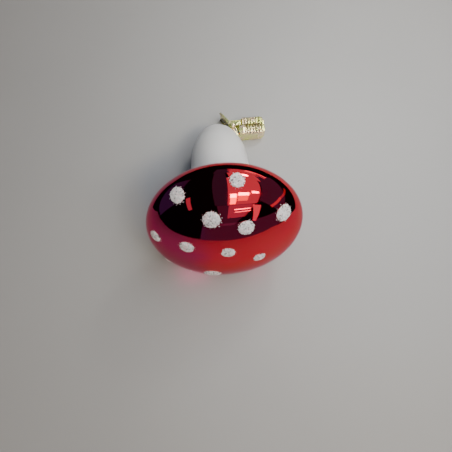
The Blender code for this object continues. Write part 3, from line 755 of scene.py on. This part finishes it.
def press_ribs(bm, rear_x, low, high, face_y, lip_y, ribs_from):
    """Press the flutes into a jaw's wall and cut its lip to teeth, alike on both sides of the sheet."""
    towards = math.copysign(1, lip_y - face_y)
    length = rim_length(rear_x, low, high)
    pitch = length / round(length / FLUTE_PITCH)
    for v in bm.verts:
        if v.co.x < rear_x + TINY:
            continue
        s, at, out = rim_near(v.co.x, v.co.z, rear_x, low, high)
        inset = (at - v.co.xz).dot(out)
        reach = min(1.0, max(0.0, (RIB_REACH - inset) / (RIB_REACH - FOLD_RADIUS - SHEET)))
        reach = reach**2 * (3 - 2 * reach)
        fade = min(1.0, max(0.0, (at.x - ribs_from) / RIB_FADE))
        dip = fade * (1 - math.cos(math.tau * s / pitch)) / 2
        if abs(v.co.y - lip_y) < LIP_REACH:
            tooth = TOOTH_DEPTH + (TIP_TOOTH_DEPTH - TOOTH_DEPTH) * max(0.0, out.x)
            v.co.y -= towards * tooth * dip
        v.co -= Vector((out.x, 0, out.y)) * FLUTE_DEPTH * dip * reach


def fold_on(bm, edge, point, low, high):
    """Carry the sheet on from an edge to the next fold line, at (x, y), between two heights."""
    made = bmesh.ops.extrude_edge_only(bm, edges=[edge])["geom"]
    ends = sorted((v for v in made if isinstance(v, bmesh.types.BMVert)), key=lambda v: v.co.z)
    for v, z in zip(ends, (low, high)):
        v.co = Vector((point[0], point[1], z))
    return next(e for e in made if isinstance(e, bmesh.types.BMEdge) and set(e.verts) == set(ends))


def corner_at(bm, x, y, z):
    """The corner of the folded sheet that stands at a point."""
    return min(bm.verts, key=lambda v: (v.co - Vector((x, y, z))).length)


def inner_ear(bm, z):
    """Fold an ear up from the base sheet's side edge at height z, with its end rounded about the pin."""
    ends = (corner_at(bm, EAR_FRONT_X, BASE_FACE_Y, z), corner_at(bm, EAR_REAR_X, BASE_FACE_Y, z))
    side = bm.edges.get(ends)
    for degrees in EAR_TURNS:
        turn = math.radians(degrees)
        made = bmesh.ops.extrude_edge_only(bm, edges=[side])["geom"]
        ends = sorted((v for v in made if isinstance(v, bmesh.types.BMVert)), key=lambda v: v.co.x)
        reach = EAR_ROUND * math.cos(turn)
        for v, x in zip(ends, (PIN_X - reach, PIN_X + reach)):
            v.co = Vector((x, PIN_Y + EAR_ROUND * math.sin(turn), z))
        side = bm.edges.get(ends)


def neck_wall(bm, z):
    """Fold a side wall down from the jaw sheet's neck and tab at height z, with a lobe round the pin."""
    folds = ((NECK_FRONT_X, NECK_Y), (NECK_REAR_X, NECK_Y), TAB_END)
    along = [corner_at(bm, *fold, z) for fold in folds]
    free = [TAB_EDGE_END, TAB_EDGE_START]
    for degrees in LOBE_TURNS:
        turn = math.radians(degrees)
        free.append((PIN_X + EAR_ROUND * math.cos(turn), PIN_Y + EAR_ROUND * math.sin(turn)))
    free += [(PIN_X + 2 * EAR_ROUND, NECK_EDGE_Y), (NECK_FRONT_X, NECK_EDGE_Y)]
    bm.faces.new(along + [bm.verts.new((*point, z)) for point in free])


def cutter(name, radius, start, end):
    """A rod to cut a hole with."""
    start, end = Vector(start), Vector(end)
    along = end - start
    place = Matrix.Translation((start + end) / 2) @ along.to_track_quat("Z", "Y").to_matrix().to_4x4()
    bm = bmesh.new()
    bmesh.ops.create_cone(
        bm, cap_ends=True, segments=ROD_SEGMENTS, radius1=radius, radius2=radius,
        depth=along.length, matrix=place,
    )
    bm.transform(CLIP_PLACE)
    made = bpy.data.objects.new(name, mesh_of(bm, name))
    bpy.context.scene.collection.objects.link(made)
    return made


def sheet_mesh(name, bm, outward, ribs, holes):
    """Give a folded surface the sheet's thickness, its ribs, its holes and its softened edges."""
    bmesh.ops.recalc_face_normals(bm, faces=bm.faces)
    largest = max(bm.faces, key=lambda face: face.calc_area())
    if largest.normal.dot(Vector(outward)) < 0:
        bmesh.ops.reverse_faces(bm, faces=bm.faces)
    bmesh.ops.solidify(bm, geom=bm.faces[:], thickness=SHEET)
    press_ribs(bm, *ribs)
    bm.transform(CLIP_PLACE)

    def punch(raw):
        for rod in holes:
            hole = raw.modifiers.new(rod.name, "BOOLEAN")
            hole.operation = "DIFFERENCE"
            hole.solver = "EXACT"
            hole.object = rod

    def soften(raw):
        edge = raw.modifiers.new("edge", "BEVEL")
        edge.width = EDGE_WIDTH
        edge.segments = 2
        edge.limit_method = "ANGLE"
        edge.angle_limit = EDGE_ANGLE

    done = settled(name, mesh_of(bm, name), punch, soften)
    for rod in holes:
        bpy.data.objects.remove(rod)
    done.shade_smooth()
    done.set_sharp_from_angle(angle=SHEET_CREASE)
    return done


def pin_cutter():
    return cutter("pin_hole", PIN_HOLE_RADIUS, (PIN_X, PIN_Y, -OVERRUN), (PIN_X, PIN_Y, JAW_WIDTH + OVERRUN))


def fixed_jaw():
    lip_y = BITE_Y - BITE_GAP / 2
    low, high = RIB_REACH, JAW_WIDTH - RIB_REACH
    bm = bmesh.new()
    rear = jaw_pan(bm, BASE_REAR_X, 0, JAW_WIDTH, BASE_FACE_Y, lip_y)
    rear = fold_on(bm, rear, (EAR_FRONT_X, BASE_FACE_Y), low, high)
    rear = fold_on(bm, rear, (EAR_REAR_X, BASE_FACE_Y), low, high)
    rear = fold_on(bm, rear, (PAD_START_X, PAD_Y), 0, PAD_HEIGHT)
    fold_on(bm, rear, (PAD_END_X, PAD_Y), 0, PAD_HEIGHT)
    for z in (low, high):
        inner_ear(bm, z)
    stud_hole = cutter(
        "stud_hole", STUD_RADIUS + PLAY, (STUD_X, PAD_Y - STUD_DEPTH - PLAY, STUD_HEIGHT),
        (STUD_X, PAD_Y + OVERRUN, STUD_HEIGHT),
    )
    ribs = (BASE_REAR_X, 0, JAW_WIDTH, BASE_FACE_Y, lip_y, BASE_RIBS_X)
    mesh = sheet_mesh("fixed_jaw", bm, (0, -1, 0), ribs, [pin_cutter(), stud_hole])
    shown("fixed_jaw", mesh, BRASS, "pale_brass", "ornament", "clip_base")


def moving_jaw():
    lip_y = BITE_Y + BITE_GAP / 2
    low, high = JAW_EDGE, JAW_WIDTH - JAW_EDGE
    bm = bmesh.new()
    rear = jaw_pan(bm, JAW_REAR_X, low, high, JAW_FACE_Y, lip_y)
    for point in ((NECK_FRONT_X, NECK_Y), (NECK_REAR_X, NECK_Y), TAB_END):
        rear = fold_on(bm, rear, point, low, high)
    for z in (low, high):
        neck_wall(bm, z)
    ribs = (JAW_REAR_X, low, high, JAW_FACE_Y, lip_y, JAW_RIBS_X)
    mesh = sheet_mesh("moving_jaw", bm, (0, 1, 0), ribs, [pin_cutter()])
    shown("moving_jaw", mesh, BRASS, "pale_brass", "jaw", "clip_jaw")


def spring_wire():
    """A coil wound clockwise round the pin. It winds up between its leg on the pad and the one on the tab."""
    first, first_reach = PAD_LEG
    last, last_reach = TAB_LEG
    sweep = last - first - math.tau * COIL_TURNS
    steps = COIL_TURNS * COIL_STEPS
    low = (JAW_WIDTH - COIL_PITCH * COIL_TURNS) / 2
    high = low + COIL_PITCH * COIL_TURNS
    points = []
    for i in range(steps + 1):
        angle = first + sweep * i / steps
        points.append(Vector((
            COIL_RADIUS * math.cos(angle), COIL_RADIUS * math.sin(angle), low + (high - low) * i / steps,
        )))
    points.insert(0, points[0] + Vector((-math.sin(first), math.cos(first), 0)) * first_reach)
    points.append(points[-1] + Vector((math.sin(last), -math.cos(last), 0)) * last_reach)
    curve = bpy.data.curves.new("spring_wire", "CURVE")
    curve.dimensions = "3D"
    curve.bevel_depth = WIRE_RADIUS
    curve.bevel_resolution = 4
    curve.use_fill_caps = True
    line = curve.splines.new("POLY")
    line.points.add(len(points) - 1)
    for spline_point, point in zip(line.points, points):
        spline_point.co = (*point, 1)
    mesh = settled("spring_wire", curve)
    mesh.transform(HINGE_PLACE)
    mesh.shade_smooth()
    mesh.set_sharp_from_angle(angle=math.radians(WIRE_CREASE))
    made = shown("spring_wire", mesh, STEEL, "bright_steel", None, "clip_spring")
    still, turning = (HINGE_PLACE @ Vector((0, 0, z)) for z in (low + WIRE_RADIUS, high - WIRE_RADIUS))
    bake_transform(made)
    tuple(still)
    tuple(turning)


def rounded_head(radius, low, height, steps=8):
    """The outline of a low domed head on a straight rim, from its middle out and down."""
    found = []
    for i in range(steps + 1):
        angle = math.pi / 2 * i / steps
        found.append((radius * math.sin(angle), low + height * (HEAD_RIM + (1 - HEAD_RIM) * math.cos(angle))))
    return [*found, (radius, low)]


def pin():
    """The pin, with a domed head over the moving sheet's upper side wall."""
    top = JAW_WIDTH - JAW_EDGE + PLAY
    outline = rounded_head(PIN_HEAD_RADIUS, top, PIN_HEAD_HEIGHT)
    outline += [(PIN_RADIUS, top), (PIN_RADIUS, PIN_LOW + EDGE_WIDTH)]
    outline += [(PIN_RADIUS * PIN_POINT, PIN_LOW), (0, PIN_LOW)]
    bm = lathe(outline, ROD_SEGMENTS)
    bm.transform(HINGE_PLACE)
    shown("pin", mesh_of(bm, "pin", TURNED_CREASE), BRASS, "pale_brass", "ornament", "hinge_pin")


def pad_stud():
    """The stud through the pad, with its domed head between the sheets and its shank in the plug."""
    inner_face = PAD_Y + SHEET + PLAY
    outline = rounded_head(STUD_HEAD_RADIUS, inner_face, STUD_HEAD_HEIGHT)
    outline += [(STUD_RADIUS, inner_face), (STUD_RADIUS, PAD_Y - STUD_DEPTH), (0, PAD_Y - STUD_DEPTH)]
    bm = lathe(outline, ROD_SEGMENTS)
    bm.transform(STUD_PLACE)
    mesh = mesh_of(bm, "pad_stud", TURNED_CREASE)
    shown("pad_stud", mesh, STEEL, "bright_steel", "ornament", "clip_stud")


# ---- table, light and camera ---------------------------------------------------------------------------


# The corners of the table top in X and Y. The cap mirrors its edge.
TABLE_OUTLINE = [
    (-0.4, -0.21), (0.152, -0.21), (0.152, -0.067), (0.115, -0.03), (0.115, 0.088), (0.1, 0.105),
    (-0.098, 0.105), (-0.098, 0.01), (-0.4, -0.05),
]


def table():
    """A pale matt table top, a little mottled, that ends a hand's width beyond the ornament."""
    made, tree, shader, at = new_material("pale_table", Roughness=0.6)
    tint = use_group(tree, "cloudy_tint", {
        "Vector": at, "Scale": 14.0, "Amount": 0.5,
        "Main Color": (0.365, 0.37, 0.376, 1), "Second Color": (0.343, 0.349, 0.355, 1),
    })
    tree.links.new(tint.outputs["Color"], shader.inputs["Base Color"])
    bm = bmesh.new()
    bm.faces.new([bm.verts.new((x, y, 0)) for x, y in TABLE_OUTLINE])
    mesh = mesh_of(bm, "table")
    mesh.materials.append(made)
    floor = bpy.data.objects.new("table", mesh)
    bpy.context.scene.collection.objects.link(floor)


def lamp(name, middle, size_x, size_y, radiance, colour, turn=(0, 0, 0), mirrored=True):
    """A soft rectangular light that faces down before it is turned. A mirror may be kept from showing it."""
    light = bpy.data.lights.new(name, "AREA")
    light.shape = "RECTANGLE"
    light.size, light.size_y = size_x, size_y
    light.energy = radiance * math.pi * size_x * size_y
    light.color = colour
    made = bpy.data.objects.new(name, light)
    made.location = middle
    made.rotation_euler = turn
    made.visible_camera = False
    made.visible_glossy = mirrored
    bpy.context.scene.collection.objects.link(made)


def strip(name, start, end, width, radiance, colour):
    """A light along a line, turned to face the ornament."""
    start, end = Vector(start), Vector(end)
    middle = (start + end) / 2
    along = (end - start).normalized()
    away = (middle - along * middle.dot(along)).normalized()
    turn = Matrix((along.cross(away), along, away)).transposed().to_euler()
    lamp(name, middle, width, (end - start).length, radiance, colour, turn)


# The lights overhead, as the cap mirrors them: left and right in X, near and far in Y, radiance and colour.
# Each hangs a step lower than the one before, so it covers that one where they overlap.
CEILING_HEIGHT = 1.0
CEILING_STEP = 5 * MM
CEILING = {
    "window": (0.12, 1.05, -1.2, 0.5, 0.74, (1.0, 0.94, 1.0)),
    "window_far": (0.19, 1.25, 0.5, 1.3, 0.72, (1.0, 0.94, 1.0)),
    "window_farther": (0.3, 1.6, 1.3, 2.3, 0.7, (1.0, 0.94, 1.0)),
    "window_farthest": (0.46, 2.0, 2.3, 4.5, 0.66, (1.0, 0.94, 1.0)),
    "window_low": (0.15, 0.95, -2.9, -1.2, 0.42, (1.0, 0.96, 1.0)),
    "pane_1": (0.165, 0.3, -0.69, -0.5, 26, (1.0, 0.84, 0.5)),
    "pane_1_glow": (0.17, 0.31, -1.1, -0.69, 6, (1.0, 0.5, 0.12)),
    "pane_2": (0.34, 0.6, -0.58, -0.43, 28, (1.0, 0.88, 0.58)),
    "pane_2_glow": (0.34, 0.6, -0.9, -0.58, 1.8, (1.0, 0.45, 0.15)),
    "pane_3": (0.68, 0.92, -0.45, -0.34, 24, (1.0, 0.86, 0.66)),
    "low_pane": (0.32, 0.85, -1.6, -1.52, 12, (1.0, 0.86, 0.7)),
    "low_pane_2": (0.36, 0.95, -1.88, -1.82, 8, (1.0, 0.8, 0.66)),
    "dim_bar": (-0.19, 0.12, -1.1, 1.2, 0.2, (0.2, 0.55, 1.0)),
    "dim_bar_far": (-0.24, 0.36, 1.2, 4.0, 0.2, (0.2, 0.55, 1.0)),
    "dim_corner": (-0.15, 0.8, -6.0, -1.1, 0.24, (0.32, 0.5, 1.0)),
    "dim_corner_left": (-0.6, -0.15, -6.0, -2.0, 0.24, (0.32, 0.5, 1.0)),
}
# The rest of the room round the ornament: where each light starts and ends, its width, radiance and colour.
WALLS = {
    "side_pane": ((1.05, -1.3, 0.95), (2.5, -5.6, 0.95), 0.3, 1.1, (1.0, 0.86, 0.9)),
    "far_arc": ((1.7, 3.7, 0.95), (3.05, 2.36, 1.0), 0.22, 2.2, (1.0, 0.8, 0.8)),
    "near_arc": ((1.2, 2.6, 0.95), (2.2, 1.5, 1.0), 0.06, 2.2, (1.0, 0.8, 0.8)),
    "left_flame": ((-0.94, -0.42, 1.0), (-1.12, -1.4, 1.0), 0.15, 0.7, (1.0, 0.7, 0.4)),
    "frame_line": ((2.85, 0.93, -0.2), (2.87, -0.6, 0.66), 0.16, 0.45, (1.0, 0.5, 0.3)),
    "frame_line_2": ((2.87, -0.56, 0.66), (2.26, -1.77, 0.9), 0.2, 0.7, (1.0, 0.5, 0.3)),
    "right_wall": ((2.6, -2.0, 1.1), (2.6, 2.4, 1.1), 1.9, 0.26, (0.28, 0.5, 1.0)),
    "left_wall": ((-1.5, -0.5, 0.5), (-1.5, 1.6, 0.5), 1.1, 0.15, (0.3, 0.5, 1.0)),
    "near_wall": ((-0.5, -1.6, 0.0), (2.8, -1.6, 0.0), 0.7, 0.25, (0.32, 0.5, 1.0)),
}


# The lamps close by: middle, the two sizes, radiance, colour, and whether a mirror shows it. The last stands
# for the red glow that the cap throws on the table.
LAMPS = {
    "clip_lamp": ((0.08, 0.1, 0.15), 0.03, 0.03, 44, (1.0, 0.97, 0.88), True),
    "soft_lamp": ((0.06, 0.0, 0.125), 0.12, 0.12, 3.6, (0.93, 0.97, 1.0), False),
    "key_lamp": ((0.3, -0.2, 0.6), 0.05, 0.05, 70, (0.95, 0.97, 1.0), False),
    "cap_glow": ((-0.002, -0.0295, 0.006), 0.03, 0.004, 5.0, (1.0, 0.05, 0.3), False),
}
ROOM_DARK = (0.004, 0.004, 0.005, 1)


def studio():
    """A dark room with a window over the right side, its bright panes, dim walls and the lamps close by."""
    world = bpy.data.worlds.new("dark_room")
    world.use_nodes = True
    world.node_tree.nodes["Background"].inputs["Color"].default_value = ROOM_DARK
    bpy.context.scene.world = world
    for depth, (name, (left, right, near, far, radiance, colour)) in enumerate(CEILING.items()):
        middle = ((left + right) / 2, (near + far) / 2, CEILING_HEIGHT - CEILING_STEP * depth)
        lamp(name, middle, right - left, far - near, radiance, colour)
    for name, line in WALLS.items():
        strip(name, *line)
    for name, (middle, size_x, size_y, radiance, colour, mirrored) in LAMPS.items():
        lamp(name, middle, size_x, size_y, radiance, colour, mirrored=mirrored)


# The camera that was fitted to the photograph, measured from the point under the middle of the cap.
CAMERA_PLACE = Vector((-1.542 * MM, -23.069 * MM, 131.216 * MM))
CAMERA_ELEVATION = math.radians(78.062)
CAMERA_SWING = math.radians(-4.618)
CAMERA_SENSOR = 36
CAMERA_LENS = 27.08
CAMERA_CLIP = (0.005, 20)


def camera():
    """The photograph's camera, close above the table and looking down past the crown."""
    right = Vector((math.cos(CAMERA_SWING), math.sin(CAMERA_SWING), 0))
    level = Vector((math.sin(CAMERA_SWING), -math.cos(CAMERA_SWING), 0)) * math.cos(CAMERA_ELEVATION)
    back = level + Vector((0, 0, math.sin(CAMERA_ELEVATION)))
    up = back.cross(right)
    data = bpy.data.cameras.new("camera")
    data.sensor_width = CAMERA_SENSOR
    data.lens = CAMERA_LENS
    data.clip_start, data.clip_end = CAMERA_CLIP
    made = bpy.data.objects.new("camera", data)
    turn = Matrix((right, up, back)).transposed().to_4x4()
    made.matrix_world = Matrix.Translation(CAMERA_PLACE + Vector((0, CLIP_SHIFT, 0))) @ turn
    bpy.context.scene.collection.objects.link(made)
    bpy.context.scene.camera = made


camera()
table()
studio()
glass_cap()
glass_stem()
for number, (bearing, distance, diameter) in enumerate(SPOTS, 1):
    glitter_spot(number, bearing, distance, diameter)
plaster_plug()
fixed_jaw()
moving_jaw()
spring_wire()
pin()
pad_stud()
